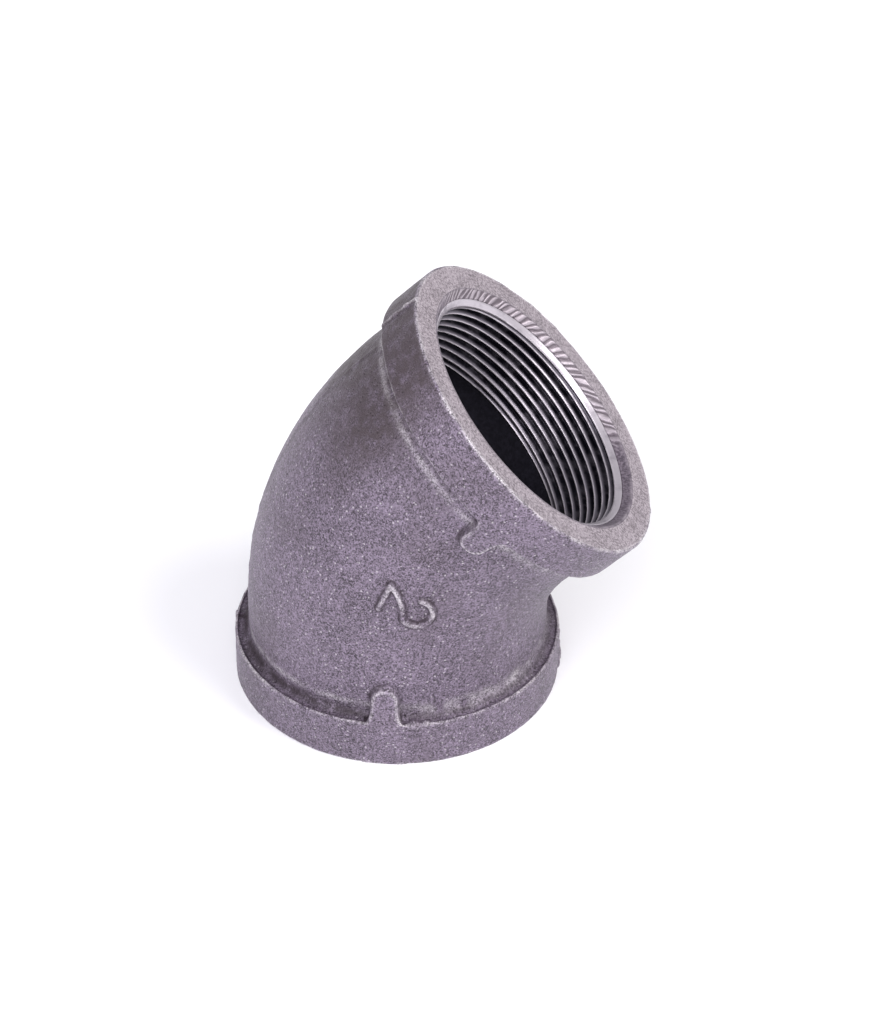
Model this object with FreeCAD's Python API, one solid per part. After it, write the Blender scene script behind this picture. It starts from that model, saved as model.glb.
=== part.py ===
"""45 degree banded pipe elbow with a tapered internal thread in each end.

The fitting is one iron casting. It is written here as the features a pattern
maker would name: the barrel that turns the corner, a threaded port at each
end, a reinforcing band round each port, four lugs beside the bands and the
raised size numeral. They meet face to face and fill the casting exactly.

All sizes are in millimetres. The origin is the centre of the lower port's end
face, which the fitting stands on; +Z runs up the lower port's axis, and the
upper port leans towards +X. The parting plane of the mould is y = 0.

Port frame: each port is drawn with its end face at z = 0 and +z pointing into
the fitting, and is then placed at the lower or the upper end.
"""
import FreeCAD, Part
import math
import os

V = FreeCAD.Vector

# Overall layout
PORT_TO_CENTRE = 42.7        # end face to the point where the two port axes cross
BEND_ANGLE = 45.0            # degrees the run turns through

# Casting: everything round is set by the barrel and the walls either side of it
BARREL_RADIUS = 34.3         # outside of the barrel
BARREL_WALL = 4.2            # from the barrel's outside in to the cored passage
CAVITY_RELIEF = 1.8          # from the cored passage in to the thread crests
BARREL_STRAIGHT = 18.7       # straight run of the barrel from each end face
CAVITY_STRAIGHT = 0.6        # straight run of the passage beyond each thread
CAVITY_RADIUS = BARREL_RADIUS - BARREL_WALL
CREST_RADIUS = CAVITY_RADIUS - CAVITY_RELIEF

# Bands
BAND_THICKNESS = 3.35        # how far both bands stand off the barrel
BAND_RADIUS = BARREL_RADIUS + BAND_THICKNESS
LOWER_BAND_HEIGHT = 11.3
UPPER_BAND_HEIGHT = 10.6
FACE_EDGE_ROUND = 0.35       # outer corner of the end face
SHELF_EDGE_ROUND = 0.45      # outer corner of the band's inner side
SHELF_DIP = 0.35             # fall of the shelf towards its root
ROOT_FILLET = 2.3            # fillet from the shelf up to the barrel

# Mouth
BEVEL_WIDTH = 1.45           # radial width of the rough bevel
BEVEL_DEPTH = 1.6            # axial depth of the rough bevel
LEAD_IN_STEP = 0.2           # small step between the bevel and the lead-in cone
LEAD_IN_WIDTH = 1.05         # radial width of the machined lead-in cone
LEAD_IN_DEPTH = 1.15         # axial depth of the machined lead-in cone
LEAD_IN_RADIUS = CREST_RADIUS + LEAD_IN_WIDTH
BEVEL_INNER_RADIUS = LEAD_IN_RADIUS + LEAD_IN_STEP
MOUTH_RADIUS = BEVEL_INNER_RADIUS + BEVEL_WIDTH

# Thread: 60 degree form on a 1 in 16 taper, crests trimmed by the drilled hole
THREAD_END = 21.4            # depth where the drilled hole opens into the cavity
THREADS_PER_INCH = 11.5
THREAD_HALF_ANGLE = 30.0     # degrees, flank to the groove's centre plane
CREST_FLAT = 0.2             # flat left between grooves at the first turn
ROOT_FLAT = 0.1              # flat at the bottom of the groove
TAPER = 1.0 / 32.0           # loss of root radius for each unit of depth
THREAD_START_TURN = 270.0    # degrees round the port where the groove begins
RUN_OUT = 0.6                # axial depth of the cone at the inner end

# Lugs
LUG_WIDTH = 6.2
LUG_REACH = 8.3              # how far each lug stands beyond its band
LUG_CORNER = 2.6             # radius of the lug's two free corners
LUG_CORNER_LAND = 0.3        # least straight left on each side of the lug's middle

# Raised numeral, a single round-ended stroke
NUMERAL_HEIGHT = 11.25
BOWL_RADIUS = 3.5
BASE_LENGTH = 7.8
HOOK_END = 183.0             # degrees round the bowl where the stroke starts
NECK_START = -35.0           # degrees round the bowl where the slanting stroke starts
NECK_BOW = 0.85              # how far the slanting stroke bows upwards
STROKE_WIDTH = 1.05
STROKE_RELIEF = 0.55         # how far the stroke stands off the barrel
NUMERAL_SHIFT = 1.35         # from the middle of the bend towards the upper port

# Construction allowances, not sizes of the casting
OVERRUN = 5.0                # how far cutting shapes run past what they cut
GROOVE_OVERCUT = 0.05        # the groove cutter starts this far inside the crests
REACH = 400.0                # larger than the whole fitting

BEND = math.radians(BEND_ANGLE)
INCH = 25.4
THREAD_PITCH = INCH / THREADS_PER_INCH


def bend_radius_after(straight):
    """Radius of the bend that starts this far inside both end faces."""
    return (PORT_TO_CENTRE - straight) / math.tan(BEND / 2)


def upper_placement():
    """Placement that carries the port frame to the upper end of the fitting."""
    axis = V(math.sin(BEND), 0, math.cos(BEND))
    centre = V(0, 0, PORT_TO_CENTRE) + axis * PORT_TO_CENTRE
    turn = FreeCAD.Rotation(V(0, 1, 0), 180 + BEND_ANGLE)
    return FreeCAD.Placement(centre, turn)


LOWER = FreeCAD.Placement()
UPPER = upper_placement()


def placed(shape, placement):
    """Copy of a port-frame shape at one end of the fitting."""
    copy = shape.copy()
    copy.Placement = placement
    return copy


def lathe(edges):
    """Solid of revolution about z from a closed profile in the xz plane."""
    return Part.Face(Part.Wire(edges)).revolve(V(), V(0, 0, 1), 360)


def line(start, end):
    """Straight profile edge between two (radius, height) points."""
    return Part.makeLine(V(start[0], 0, start[1]), V(end[0], 0, end[1]))


def arc(start, middle, end):
    """Profile arc through three (radius, height) points."""
    points = [V(point[0], 0, point[1]) for point in (start, middle, end)]
    return Part.Arc(*points).toShape()


def polyline(points):
    """Closed run of straight profile edges."""
    return [line(a, b) for a, b in zip(points, points[1:] + points[:1])]


def bent_rod(radius, straight, first_depth):
    """Round rod along the run, starting and ending first_depth inside the faces."""
    bend_radius = bend_radius_after(straight)
    length = straight - first_depth
    leg = Part.makeCylinder(radius, length, V(0, 0, first_depth))
    disc = Part.Face(Part.Wire(Part.makeCircle(radius, V(0, 0, straight))))
    corner = disc.revolve(V(bend_radius, 0, straight), V(0, 1, 0), BEND_ANGLE)
    return placed(leg, LOWER).fuse([corner, placed(leg, UPPER)]).removeSplitter()


def port_block(depth):
    """Block that holds everything from the end face to the given depth."""
    return Part.makeBox(REACH, REACH, depth + OVERRUN, V(-REACH / 2, -REACH / 2, -OVERRUN))


def band(height):
    """Band round one port, in the port frame, with its root fillet."""
    shelf = height - SHELF_DIP
    diagonal = math.sqrt(0.5)
    face_corner = BAND_RADIUS - FACE_EDGE_ROUND
    edge_corner = BAND_RADIUS - SHELF_EDGE_ROUND
    fillet_foot = BARREL_RADIUS + ROOT_FILLET
    edges = [
        line((BARREL_RADIUS, 0), (face_corner, 0)),
        arc((face_corner, 0),
            (face_corner + FACE_EDGE_ROUND * diagonal, FACE_EDGE_ROUND * (1 - diagonal)),
            (BAND_RADIUS, FACE_EDGE_ROUND)),
        line((BAND_RADIUS, FACE_EDGE_ROUND), (BAND_RADIUS, height - SHELF_EDGE_ROUND)),
        arc((BAND_RADIUS, height - SHELF_EDGE_ROUND),
            (edge_corner + SHELF_EDGE_ROUND * diagonal,
             height - SHELF_EDGE_ROUND * (1 - diagonal)),
            (edge_corner, height)),
        line((edge_corner, height), (fillet_foot, shelf)),
        arc((fillet_foot, shelf),
            (fillet_foot - ROOT_FILLET * diagonal, shelf + ROOT_FILLET * (1 - diagonal)),
            (BARREL_RADIUS, shelf + ROOT_FILLET)),
        line((BARREL_RADIUS, shelf + ROOT_FILLET), (BARREL_RADIUS, 0)),
    ]
    return lathe(edges)


def drill():
    """Straight drill through one port, in the port frame."""
    return Part.makeCylinder(CREST_RADIUS, THREAD_END + 2 * OVERRUN, V(0, 0, -OVERRUN))


def groove_cutter():
    """Solid swept by the groove's section along a helix that closes inwards.

    It is drawn from the deep end, where it is smallest, and then turned over.
    """
    start = BEVEL_DEPTH + LEAD_IN_DEPTH
    length = THREAD_END + THREAD_PITCH - start
    closing = length * TAPER
    slope = math.tan(math.radians(THREAD_HALF_ANGLE))
    height = (THREAD_PITCH - CREST_FLAT - ROOT_FLAT) / 2 / slope
    inner = CREST_RADIUS - GROOVE_OVERCUT - closing
    root = CREST_RADIUS + height - closing
    half_flat = ROOT_FLAT / 2
    half_mouth = half_flat + (root - inner) * slope
    section = Part.Wire(polyline([
        (inner, -half_mouth),
        (root, -half_flat),
        (root, half_flat),
        (inner, half_mouth),
    ]))
    cone = math.degrees(math.atan(TAPER))
    helix = Part.makeHelix(THREAD_PITCH, length, CREST_RADIUS - closing, cone)
    cutter = Part.Wire(helix.Edges).makePipeShell([section], True, True)
    cutter.rotate(V(), V(1, 0, 0), 180)
    cutter.translate(V(0, 0, start + length))
    cutter.rotate(V(), V(0, 0, 1), THREAD_START_TURN + 360 * length / THREAD_PITCH)
    return cutter


def mouth():
    """Bevel, lead-in, drilled wall and inner run-out of one port, in the port frame."""
    widening = (MOUTH_RADIUS - BEVEL_INNER_RADIUS) / BEVEL_DEPTH
    return lathe(polyline([
        (0, -OVERRUN),
        (MOUTH_RADIUS + widening * OVERRUN, -OVERRUN),
        (BEVEL_INNER_RADIUS, BEVEL_DEPTH),
        (LEAD_IN_RADIUS, BEVEL_DEPTH),
        (CREST_RADIUS, BEVEL_DEPTH + LEAD_IN_DEPTH),
        (CREST_RADIUS, THREAD_END - RUN_OUT),
        (CAVITY_RADIUS, THREAD_END),
        (CAVITY_RADIUS, THREAD_END + OVERRUN),
        (0, THREAD_END + OVERRUN),
    ]))


def lug(height):
    """Rounded pad standing beyond a band at the front, in the port frame."""
    half = LUG_WIDTH / 2
    top = height + LUG_REACH
    foot = height - SHELF_DIP - SHELF_EDGE_ROUND
    front = -math.sqrt(BAND_RADIUS ** 2 - half ** 2)
    corner = min(LUG_CORNER, half - LUG_CORNER_LAND)
    diagonal = corner * (1 - math.sqrt(0.5))
    edges = [
        line((-half, foot), (half, foot)),
        line((half, foot), (half, top - corner)),
        arc((half, top - corner), (half - diagonal, top - diagonal), (half - corner, top)),
        line((half - corner, top), (corner - half, top)),
        arc((corner - half, top), (diagonal - half, top - diagonal), (-half, top - corner)),
        line((-half, top - corner), (-half, foot)),
    ]
    pad = Part.Face(Part.Wire(edges))
    pad.translate(V(0, front, 0))
    return pad.extrude(V(0, -front, 0))


def numeral_path():
    """Open path of the numeral, in its own plane with its foot at the origin."""
    bowl = V(BASE_LENGTH - BOWL_RADIUS, NUMERAL_HEIGHT - BOWL_RADIUS, 0)

    def on_bowl(degrees):
        """Point of the bowl at an angle from its right-hand side."""
        angle = math.radians(degrees)
        return bowl + V(math.cos(angle), math.sin(angle), 0) * BOWL_RADIUS

    corner = V(0, 0, 0)
    neck_start = on_bowl(NECK_START)
    across = V(-neck_start.y, neck_start.x, 0).normalize()
    neck_middle = (corner + neck_start) * 0.5 + across * NECK_BOW
    bowl_middle = (HOOK_END + NECK_START) / 2
    return Part.Wire([
        Part.Arc(on_bowl(HOOK_END), on_bowl(bowl_middle), neck_start).toShape(),
        Part.Arc(neck_start, neck_middle, corner).toShape(),
        Part.makeLine(corner, V(BASE_LENGTH, 0, 0)),
    ])


def numeral(barrel_outside):
    """Raised numeral on the front of the barrel, read along the run."""
    outline = numeral_path().makeOffset2D(STROKE_WIDTH / 2)
    face = Part.Face(outline)
    face.translate(V(-BASE_LENGTH / 2, -NUMERAL_HEIGHT / 2, 0))
    # Stand the drawing up on the xz plane, then turn its base line along the run.
    face.rotate(V(), V(1, 0, 0), 90)
    face.rotate(V(), V(0, 1, 0), 90 + BEND_ANGLE / 2)
    middle = BEND / 2
    bend_radius = bend_radius_after(BARREL_STRAIGHT)
    run_point = V(
        bend_radius * (1 - math.cos(middle)),
        -BAND_RADIUS,
        BARREL_STRAIGHT + bend_radius * math.sin(middle),
    )
    along = V(math.sin(middle), 0, math.cos(middle)) * NUMERAL_SHIFT
    face.translate(run_point + along)
    column = face.extrude(V(0, BAND_RADIUS, 0))
    relief = bent_rod(BARREL_RADIUS + STROKE_RELIEF, BARREL_STRAIGHT, 0)
    return column.common(relief).cut(barrel_outside)


def build():
    """All features of the casting, by node name."""
    outside = bent_rod(BARREL_RADIUS, BARREL_STRAIGHT, 0)
    cavity = bent_rod(CAVITY_RADIUS, THREAD_END + CAVITY_STRAIGHT, THREAD_END)
    block = port_block(THREAD_END)
    cuts = [drill(), groove_cutter(), mouth()]
    blocks = [placed(block, LOWER), placed(block, UPPER)]
    shapes = {"barrel": outside.cut(blocks + [cavity])}
    ends = {"lower": (LOWER, LOWER_BAND_HEIGHT), "upper": (UPPER, UPPER_BAND_HEIGHT)}
    back = FreeCAD.Rotation(V(0, 0, 1), 180)
    for end, (placement, height) in ends.items():
        port = outside.common(placed(block, placement))
        for cut in cuts:
            port = port.cut(placed(cut, placement))
        shapes[end + "_port"] = port
        ring = placed(band(height), placement)
        shapes[end + "_band"] = ring
        for side, turn in (("front", FreeCAD.Rotation()), ("back", back)):
            pad = lug(height)
            pad.Placement = placement.multiply(FreeCAD.Placement(V(), turn))
            shapes[end + "_" + side + "_lug"] = pad.cut([ring, outside])
    shapes["size_numeral"] = numeral(outside)
    return shapes


def main():
    """Build each feature and write it to its own STEP file."""
    os.makedirs("parts", exist_ok=True)
    for name, shape in build().items():
        solids = shape.Solids
        if len(solids) != 1:
            raise RuntimeError(name + " came out as " + str(len(solids)) + " solids")
        solid = solids[0]
        print(name, "volume", round(solid.Volume, 2), "valid", solid.isValid())
        solid.exportStep(os.path.join("parts", name + ".step"))


main()
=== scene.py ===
"""Banded 45 degree pipe elbow in malleable iron, dressed for a catalogue picture.

The elbow is one casting with a tapered thread tapped in each end. It is made here
as the casting with its sand-cast skin, and a threaded wall in each port. Sizes are
in millimetres and meshes are written in metres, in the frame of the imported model:
the origin is the centre of the lower end face and +Z runs up the lower port.
"""
import logging
import math
from dataclasses import dataclass, field
from enum import Enum

import bmesh
import bpy
import numpy as np
from mathutils import Matrix, Vector


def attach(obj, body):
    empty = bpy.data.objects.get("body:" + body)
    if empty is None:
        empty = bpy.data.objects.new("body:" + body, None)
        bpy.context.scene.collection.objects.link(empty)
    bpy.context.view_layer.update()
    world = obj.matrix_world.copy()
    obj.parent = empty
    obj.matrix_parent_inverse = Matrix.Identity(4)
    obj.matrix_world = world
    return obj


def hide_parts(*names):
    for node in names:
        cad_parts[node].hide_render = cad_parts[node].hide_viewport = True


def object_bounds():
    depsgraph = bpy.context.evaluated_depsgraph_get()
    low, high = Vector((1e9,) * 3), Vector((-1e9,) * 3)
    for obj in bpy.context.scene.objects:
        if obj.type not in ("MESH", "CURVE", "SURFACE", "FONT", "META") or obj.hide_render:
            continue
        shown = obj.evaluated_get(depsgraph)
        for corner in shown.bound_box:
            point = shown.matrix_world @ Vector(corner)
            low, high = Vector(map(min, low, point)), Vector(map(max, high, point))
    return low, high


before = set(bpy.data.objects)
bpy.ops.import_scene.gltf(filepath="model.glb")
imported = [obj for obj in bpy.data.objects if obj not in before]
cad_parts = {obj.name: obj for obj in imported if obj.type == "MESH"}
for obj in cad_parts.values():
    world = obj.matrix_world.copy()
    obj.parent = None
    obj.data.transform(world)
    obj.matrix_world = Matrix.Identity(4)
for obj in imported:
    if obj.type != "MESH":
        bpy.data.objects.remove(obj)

LOG = logging.getLogger("elbow")
MM = 0.001
CAD_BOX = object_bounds()

# Colours are linear red, green and blue. A shell's rows are named arrays, one value for each row.
Colour = tuple[float, float, float]
Place = tuple[float, float, float]
Rows = dict[str, np.ndarray]

FAR = 50.0  # A distance, in millimetres, at which no form has any effect.
STEEPEST = 40.0  # Largest exponent that a soft edge works out.
MERGE_DISTANCE = 1e-7  # Metres within which two points are one.


class Region(Enum):
    """Parts of the casting's surface that have a finish of their own."""

    SKIN = 0
    FACE = 1
    BEVEL = 2
    CORE = 3


class End(Enum):
    """The two ports."""

    LOWER = "lower"
    UPPER = "upper"


# --------------------------------------------------------------------------
# Geometry helpers
# --------------------------------------------------------------------------


class LatticeNoise:
    """Seeded smooth noise over space, between -1 and 1."""

    SIDE = 32
    SHIFT = 500.37
    LAYER_SHIFT = 17.3

    def __init__(self, seed: int) -> None:
        """Fill the lattice.

        Args:
            seed: Number that fixes the pattern.
        """
        maker = np.random.default_rng(seed)
        self.table = maker.uniform(-1.0, 1.0, (self.SIDE,) * 3)

    def at(self, points: np.ndarray, size: float) -> np.ndarray:
        """Noise value at each point.

        Args:
            points: Array of shape (..., 3), in millimetres.
            size: Distance between lattice points, in millimetres.

        Returns:
            Array of shape (...).
        """
        scaled = points / size + self.SHIFT
        cell = np.floor(scaled).astype(int)
        part = scaled - cell
        part = part * part * (3.0 - 2.0 * part)
        total = np.zeros(points.shape[:-1])
        for corner in np.ndindex(2, 2, 2):
            weight = np.ones(points.shape[:-1])
            index = []
            for axis in range(3):
                share = part[..., axis]
                weight = weight * (share if corner[axis] else 1.0 - share)
                index.append((cell[..., axis] + corner[axis]) % self.SIDE)
            total += weight * self.table[tuple(index)]
        return total

    def layered(self, points: np.ndarray, size: float, layers: int) -> np.ndarray:
        """Sum of finer and weaker layers of the noise.

        Args:
            points: Array of shape (..., 3), in millimetres.
            size: Lattice distance of the coarsest layer, in millimetres.
            layers: How many layers are added.

        Returns:
            Array of shape (...).
        """
        total = np.zeros(points.shape[:-1])
        for layer in range(layers):
            total += self.at(points + self.LAYER_SHIFT * layer, size / 2**layer) / 2**layer
        return total


def smooth_step(low: float, high: float, value: np.ndarray) -> np.ndarray:
    """Smooth change from 0 at low to 1 at high.

    Args:
        low: Value at which the change starts.
        high: Value at which it ends, smaller than low for a fall.
        value: Values to look up.

    Returns:
        Array of the same shape as value.
    """
    part = np.clip((value - low) / (high - low), 0.0, 1.0)
    return part * part * (3.0 - 2.0 * part)


def soft_edge(distance: np.ndarray, softness: float) -> np.ndarray:
    """Height of a raised form with soft edges, 1 inside and 0 outside.

    Args:
        distance: Distance outside the form's outline, negative inside.
        softness: About a fifth of the width of the sloping edge.

    Returns:
        Array of the same shape as distance.
    """
    return 1.0 / (1.0 + np.exp(np.clip(distance / softness, -STEEPEST, STEEPEST)))


def bell(
    value: np.ndarray, middle: np.ndarray | float, width: np.ndarray | float
) -> np.ndarray:
    """Smooth hump that is 1 at the middle and fades to both sides.

    Args:
        value: Values to look up.
        middle: Value at the hump's top.
        width: Distance from the middle at which it has fallen to about a third.

    Returns:
        Array of the inputs' shape.
    """
    return np.exp(-(((value - middle) / width) ** 2))


@dataclass(frozen=True)
class Run:
    """Centre line from the lower face, round the corner, to the upper face."""

    straight: float
    port_to_centre: float = 42.7
    bend: float = math.pi / 4

    @property
    def radius(self) -> float:
        """Radius of the bend."""
        return (self.port_to_centre - self.straight) / math.tan(self.bend / 2)

    @property
    def length(self) -> float:
        """Length of the centre line from face to face."""
        return 2 * self.straight + self.radius * self.bend

    def points(self, along: np.ndarray, radius: np.ndarray, turn: np.ndarray) -> np.ndarray:
        """Points round the centre line.

        Args:
            along: Length along the centre line from the lower face.
            radius: Distance from the centre line.
            turn: Angle round it from the inner side of the bend, towards +Y.

        Returns:
            Array of shape (..., 3), in millimetres.
        """
        curved = np.clip((along - self.straight) / self.radius, 0.0, self.bend)
        before = np.minimum(along, self.straight)
        after = np.maximum(along - self.length + self.straight, 0.0)
        sine = np.sin(curved)
        cosine = np.cos(curved)
        centre_x = self.radius * (1 - cosine) + after * sine
        centre_z = before + self.radius * sine + after * cosine
        out = radius * np.cos(turn)
        return np.stack(
            [
                centre_x + out * cosine,
                radius * np.sin(turn),
                centre_z - out * sine,
            ],
            axis=-1,
        )


@dataclass
class Mesher:
    """Collects one piece's points, faces and surface readings, and makes its object."""

    name: str
    points: np.ndarray
    faces: list[list[int]]
    regions: np.ndarray | None = None
    readings: dict[str, np.ndarray] = field(default_factory=dict)

    def make(self, materials: list[bpy.types.Material], merge: bool = False) -> bpy.types.Object:
        """Make the object.

        Args:
            materials: Finishes, in the order of the region numbers.
            merge: Whether points that coincide become one.

        Returns:
            The new object, linked to the scene.
        """
        mesh = bpy.data.meshes.new(self.name)
        mesh.from_pydata((self.points * MM).tolist(), [], self.faces)
        for label, values in self.readings.items():
            kind, slot = ("FLOAT_VECTOR", "vector") if values.ndim == 2 else ("FLOAT", "value")
            layer = mesh.attributes.new(label, kind, "POINT")
            layer.data.foreach_set(slot, values.ravel())
        for material in materials:
            mesh.materials.append(material)
        if self.regions is not None:
            mesh.polygons.foreach_set("material_index", self.regions.astype(np.int32))
        shell = bmesh.new()
        shell.from_mesh(mesh)
        if merge:
            bmesh.ops.remove_doubles(shell, verts=shell.verts, dist=MERGE_DISTANCE)
        bmesh.ops.recalc_face_normals(shell, faces=shell.faces)
        shell.to_mesh(mesh)
        shell.free()
        mesh.polygons.foreach_set("use_smooth", np.ones(len(mesh.polygons), dtype=bool))
        mesh.update()
        piece = bpy.data.objects.new(self.name, mesh)
        bpy.context.scene.collection.objects.link(piece)
        return piece


def ring_faces(rows: int, columns: int) -> np.ndarray:
    """Quads of a grid that closes on itself both ways.

    Args:
        rows: Number of rows.
        columns: Number of columns.

    Returns:
        Array of shape (rows * columns, 4).
    """
    row = np.arange(rows)[:, None]
    column = np.arange(columns)[None, :]
    next_row = (row + 1) % rows
    next_column = (column + 1) % columns
    quads = [
        row * columns + column,
        row * columns + next_column,
        next_row * columns + next_column,
        next_row * columns + column,
    ]
    return np.stack([np.broadcast_to(corner, (rows, columns)) for corner in quads], -1).reshape(-1, 4)


def steps(start: float, end: float, spacing: float) -> np.ndarray:
    """Even steps from start up to but not including end.

    Args:
        start: First value.
        end: Value that the steps stop short of.
        spacing: Largest distance between steps.

    Returns:
        One-dimensional array.
    """
    count = max(1, math.ceil(abs(end - start) / spacing))
    return np.linspace(start, end, count + 1)[:-1]


# --------------------------------------------------------------------------
# Finishes
# --------------------------------------------------------------------------


class Bench:
    """Short calls for laying out one material's nodes."""

    # A wave texture's stripe spacing at scale 1, and the colour sockets of a mix node.
    WAVE_SPACING = math.pi / 10
    FIRST_COLOUR = 6
    SECOND_COLOUR = 7
    MIXED_COLOUR = 2

    def __init__(self, name: str) -> None:
        """Start a material.

        Args:
            name: Name of the material.
        """
        self.material = bpy.data.materials.new(name)
        self.material.use_nodes = True
        self.nodes = self.material.node_tree.nodes
        self.links = self.material.node_tree.links
        self.shader = self.nodes["Principled BSDF"]
        self.place = self.nodes.new("ShaderNodeTexCoord").outputs["Object"]

    def feed(self, socket: bpy.types.NodeSocket, value: object) -> None:
        """Link a socket to a socket, or set it to a constant."""
        if isinstance(value, bpy.types.NodeSocket):
            self.links.new(value, socket)
        else:
            socket.default_value = value

    def noise(
        self, size: float, detail: float = 2.0, rough: float = 0.5, place: object = None
    ) -> bpy.types.NodeSocket:
        """Noise with features of a given size.

        Args:
            size: Size of the features, in metres, or in the place's own unit.
            detail: Number of finer layers.
            rough: Strength of the finer layers.
            place: Coordinates to look up, or None for the object's own.

        Returns:
            The noise value's socket.
        """
        node = self.nodes.new("ShaderNodeTexNoise")
        self.feed(node.inputs["Vector"], self.place if place is None else place)
        node.inputs["Scale"].default_value = 1.0 / size
        node.inputs["Detail"].default_value = detail
        node.inputs["Roughness"].default_value = rough
        return node.outputs["Fac"]

    def ripple(self, place: object, spacing: float, wander: float) -> bpy.types.NodeSocket:
        """Wandering stripes across the first coordinate.

        Args:
            place: Coordinates to look up.
            spacing: Distance between stripes, in the place's own unit.
            wander: How far the stripes stray.

        Returns:
            The stripe value's socket.
        """
        node = self.nodes.new("ShaderNodeTexWave")
        self.feed(node.inputs["Vector"], place)
        node.inputs["Scale"].default_value = self.WAVE_SPACING / spacing
        node.inputs["Distortion"].default_value = wander
        node.inputs["Detail"].default_value = 2.0
        node.inputs["Detail Scale"].default_value = 1.4
        return node.outputs["Fac"]

    def cells(self, size: float) -> tuple[bpy.types.NodeSocket, bpy.types.NodeSocket]:
        """Scattered cells.

        Args:
            size: Distance between cells, in metres.

        Returns:
            Sockets of the distance from the nearest cell's middle and of its colour.
        """
        node = self.nodes.new("ShaderNodeTexVoronoi")
        self.feed(node.inputs["Vector"], self.place)
        node.inputs["Scale"].default_value = 1.0 / size
        return node.outputs["Distance"], node.outputs["Color"]

    def reading(self, label: str, vector: bool = False) -> bpy.types.NodeSocket:
        """Surface reading that the mesh carries under a name."""
        node = self.nodes.new("ShaderNodeAttribute")
        node.attribute_name = label
        return node.outputs["Vector" if vector else "Fac"]

    def stretched(self, place: object, scale: Place) -> bpy.types.NodeSocket:
        """Coordinates scaled by a different amount each way."""
        node = self.nodes.new("ShaderNodeMapping")
        self.feed(node.inputs["Vector"], place)
        node.inputs["Scale"].default_value = scale
        return node.outputs["Vector"]

    def ramp(self, value: object, low: float, high: float) -> bpy.types.NodeSocket:
        """Value spread smoothly from 0 at low to 1 at high."""
        node = self.nodes.new("ShaderNodeMapRange")
        node.interpolation_type = "SMOOTHSTEP"
        self.feed(node.inputs["Value"], value)
        node.inputs["From Min"].default_value = low
        node.inputs["From Max"].default_value = high
        return node.outputs["Result"]

    def maths(self, kind: str, first: object, second: object) -> bpy.types.NodeSocket:
        """Arithmetic on two values."""
        node = self.nodes.new("ShaderNodeMath")
        node.operation = kind
        self.feed(node.inputs[0], first)
        self.feed(node.inputs[1], second)
        return node.outputs[0]

    def times(self, first: object, second: object) -> bpy.types.NodeSocket:
        """Product of two values."""
        return self.maths("MULTIPLY", first, second)

    def weigh(self, *terms: tuple[object, float], base: float | None = None) -> bpy.types.NodeSocket:
        """Sum of weighted values.

        Args:
            *terms: Values, each with its weight.
            base: Constant that the sum starts from, or None.

        Returns:
            The sum's socket.
        """
        parts = [self.times(value, weight) for value, weight in terms]
        total = parts.pop(0) if base is None else base
        for part in parts:
            total = self.maths("ADD", total, part)
        return total

    def blend(self, share: object, first: object, second: object) -> bpy.types.NodeSocket:
        """Colour between two colours.

        Args:
            share: 0 for the first colour, 1 for the second.
            first: Colour socket or constant.
            second: Colour socket or constant.

        Returns:
            The colour's socket.
        """
        node = self.nodes.new("ShaderNodeMix")
        node.data_type = "RGBA"
        self.feed(node.inputs[0], share)
        for index, value in ((self.FIRST_COLOUR, first), (self.SECOND_COLOUR, second)):
            self.feed(node.inputs[index], (*value, 1.0) if isinstance(value, tuple) else value)
        return node.outputs[self.MIXED_COLOUR]

    def relief(
        self, height: object, depth: float, strength: float = 1.0, under: object = None
    ) -> bpy.types.NodeSocket:
        """Bump from a height.

        Args:
            height: Height, from 0 to 1.
            depth: Depth of the relief, in metres.
            strength: Share of the relief that shows.
            under: Normal of a coarser relief beneath this one, or None.

        Returns:
            The normal's socket.
        """
        node = self.nodes.new("ShaderNodeBump")
        node.inputs["Distance"].default_value = depth
        node.inputs["Strength"].default_value = strength
        self.feed(node.inputs["Height"], height)
        if under is not None:
            self.feed(node.inputs["Normal"], under)
        return node.outputs["Normal"]

    def finish(self, **sockets: object) -> bpy.types.Material:
        """Feed the shader's sockets.

        Args:
            **sockets: Socket name with underscores for spaces, and its value.

        Returns:
            The material.
        """
        for name, value in sockets.items():
            self.feed(self.shader.inputs[name.replace("_", " ")], value)
        return self.material


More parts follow.
